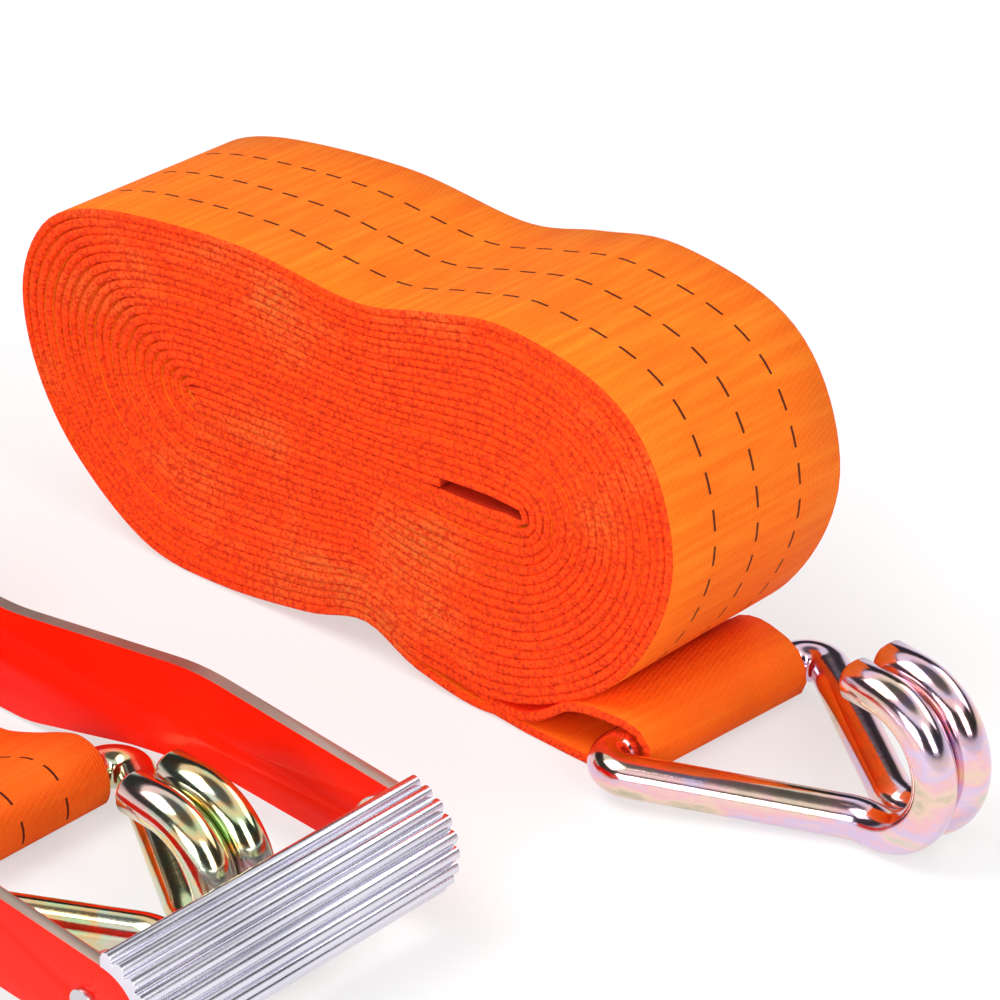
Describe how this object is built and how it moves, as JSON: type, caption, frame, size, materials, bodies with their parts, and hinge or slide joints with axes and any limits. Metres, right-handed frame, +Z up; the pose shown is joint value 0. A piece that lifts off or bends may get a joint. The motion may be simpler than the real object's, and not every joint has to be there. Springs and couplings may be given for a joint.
{
  "type": "ratchet tie down",
  "caption": "Lashing strap set with a closed folding ratchet, a short sewn strap and a long strap rolled on edge, each ending in a double J wire hook.",
  "frame": {"origin": "centre of the whole set's footprint, on the floor that both halves lie on", "axes": "+X along both straps towards the hooks, +Y from the ratchet towards the rolled strap, +Z up"},
  "size_m": [0.2907, 0.1962, 0.086],
  "materials": {
    "webbing": "woven polyester webbing, bright red-orange, with three lines of dark maroon dashes",
    "thread": "matte sewing thread, dark orange-red",
    "red_paint": "glossy red powder coat with bare bright rims",
    "grip_plate": "bright zinc plate, ribbed",
    "zinc_plate": "bright zinc plate",
    "pawl_steel": "hardened steel, zinc plated, slightly darker",
    "spring_steel": "drawn spring wire",
    "hook_plate": "iridescent chromate over zinc, pink, gold and green"
  },
  "bodies": {
    "frame": {"ratchet_frame": "zinc_plate", "lock_pawl_bracket": "zinc_plate", "lock_pawl_spring": "spring_steel", "base_bolt": "zinc_plate", "base_nut": "zinc_plate"},
    "mandrel": {"mandrel_half_upper": "zinc_plate", "mandrel_half_lower": "zinc_plate", "ratchet_wheel_right": "zinc_plate", "ratchet_wheel_left": "zinc_plate", "mandrel_washers": "zinc_plate", "split_pins": "spring_steel"},
    "handle": {"handle_plate_right": "red_paint", "handle_plate_left": "red_paint", "handle_grip": "grip_plate", "grip_rivets": "zinc_plate", "handle_bridge": "zinc_plate", "drive_pawl_spring": "spring_steel"},
    "drive_pawl": {"drive_pawl": "pawl_steel"},
    "lock_pawl": {"lock_pawl": "pawl_steel"},
    "short_strap": {"short_strap": "webbing", "short_strap_stitching": "thread", "base_sleeve": "zinc_plate"},
    "short_hook": {"short_strap_hook": "hook_plate"},
    "strap_roll": {"long_strap": "webbing", "long_strap_stitching": "thread"},
    "long_hook": {"long_strap_hook": "hook_plate"}
  },
  "joints": [
    {"name": "mandrel_spin", "type": "hinge", "parent": "frame", "child": "mandrel", "pos_m": [-0.1255, -0.0545, 0.024], "axis": [0, 1, 0], "continuous": true},
    {"name": "handle_fold", "type": "hinge", "parent": "frame", "child": "handle", "pos_m": [-0.1255, -0.0545, 0.024], "axis": [0, -1, 0], "range_deg": [0, 170]},
    {"name": "drive_pawl_slide", "type": "slide", "parent": "handle", "child": "drive_pawl", "axis": [0.866, 0, 0.5], "range_m": [0, 0.005], "stiffness_N_per_m": 600, "springref_m": -0.005, "deforming": ["drive_pawl_spring"]},
    {"name": "lock_pawl_slide", "type": "slide", "parent": "frame", "child": "lock_pawl", "axis": [1, 0, 0], "range_m": [0, 0.005], "stiffness_N_per_m": 600, "springref_m": -0.005, "deforming": ["lock_pawl_spring"]},
    {"name": "short_strap_swing", "type": "hinge", "parent": "frame", "child": "short_strap", "pos_m": [-0.0505, -0.0545, 0.013], "axis": [0, -1, 0], "range_deg": [0, 75]},
    {"name": "short_hook_swing", "type": "hinge", "parent": "short_strap", "child": "short_hook", "pos_m": [0.0085, -0.0531, 0.0066], "axis": [0, -1, 0], "range_deg": [0, 80]},
    {"name": "strap_roll_lift", "type": "slide", "parent": "frame", "child": "strap_roll", "axis": [0, 0, 1], "range_m": [0, 0.1]},
    {"name": "long_hook_swing", "type": "hinge", "parent": "strap_roll", "child": "long_hook", "pos_m": [0.0785, 0.0656, 0.0066], "axis": [-0.0785, -0.9969, 0], "range_deg": [0, 24]}
  ]
}
